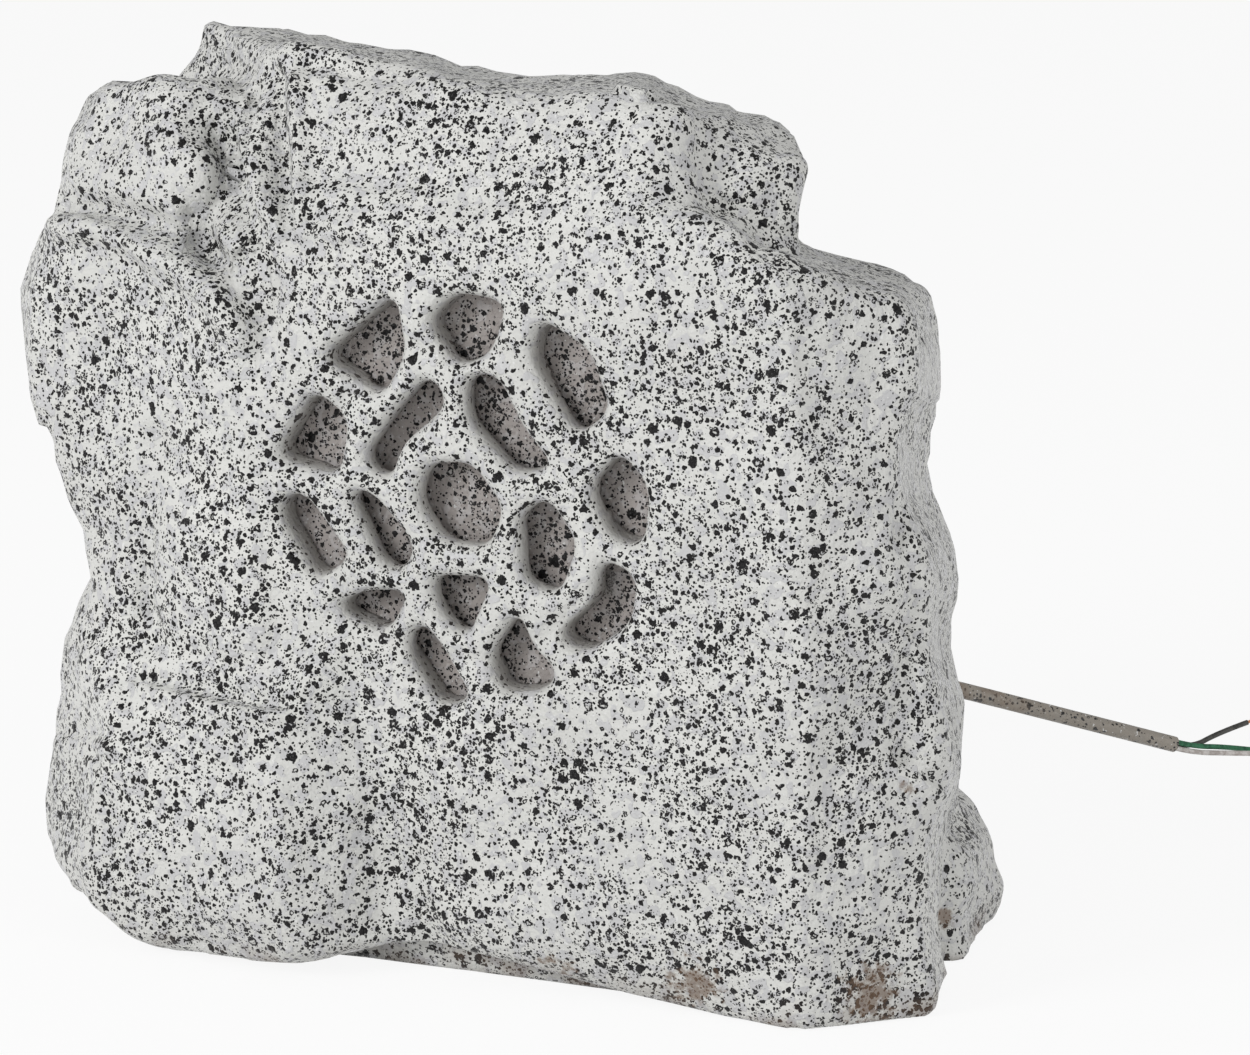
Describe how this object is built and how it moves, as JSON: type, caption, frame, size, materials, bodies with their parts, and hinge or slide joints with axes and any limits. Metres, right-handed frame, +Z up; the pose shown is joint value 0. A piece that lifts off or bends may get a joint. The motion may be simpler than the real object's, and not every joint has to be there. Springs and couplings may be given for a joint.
{
  "type": "rock shaped garden speaker",
  "caption": "Garden loudspeaker moulded as a granite boulder, with an open cell grille in its face, a full range driver behind it and a cable out of its back.",
  "frame": {"origin": "on the ground under the middle of the rock", "axes": "+Z up, -Y out of the grille's face, +X to the right seen from the front"},
  "size_m": [0.4286, 0.3745, 0.3437],
  "materials": {
    "rock": "satin speckled paint",
    "screen": "matt speckled paint",
    "foam": "matt",
    "cast_alloy": "satin",
    "cone": "matt",
    "spider_cloth": "matt",
    "steel": "zinc plated",
    "ferrite": "matt",
    "board": "matt",
    "brass": "tinned",
    "copper": "bare copper",
    "black_plastic": "moulded",
    "cable_grey": "speckled paint",
    "core_black": "smooth",
    "core_green": "smooth",
    "core_white": "smooth"
  },
  "bodies": {
    "cabinet": {"rock_shell": "rock", "grille_screen": "screen", "driver_gasket": "foam", "driver_basket": "cast_alloy", "driver_surround": "foam", "driver_spider": "spider_cloth", "top_plate": "steel", "ring_magnet": "ferrite", "magnet_yoke": "steel", "terminal_board": "board", "terminal_tags": "brass", "terminal_plug": "black_plastic", "base_plate": "black_plastic", "base_gasket": "foam", "base_screws": "steel", "cable_gland": "black_plastic", "gland_nut": "black_plastic", "cable_jacket": "cable_grey", "black_core": "core_black", "green_core": "core_green", "white_core": "core_white", "bare_wire_ends": "copper"},
    "diaphragm": {"driver_cone": "cone", "voice_coil": "copper"}
  },
  "joints": [
    {"name": "cone_travel", "type": "slide", "parent": "cabinet", "child": "diaphragm", "axis": [0, -1, 0], "range_m": [-0.003, 0.003], "stiffness_N_per_m": 1200, "deforming": ["driver_surround", "driver_spider"]}
  ]
}
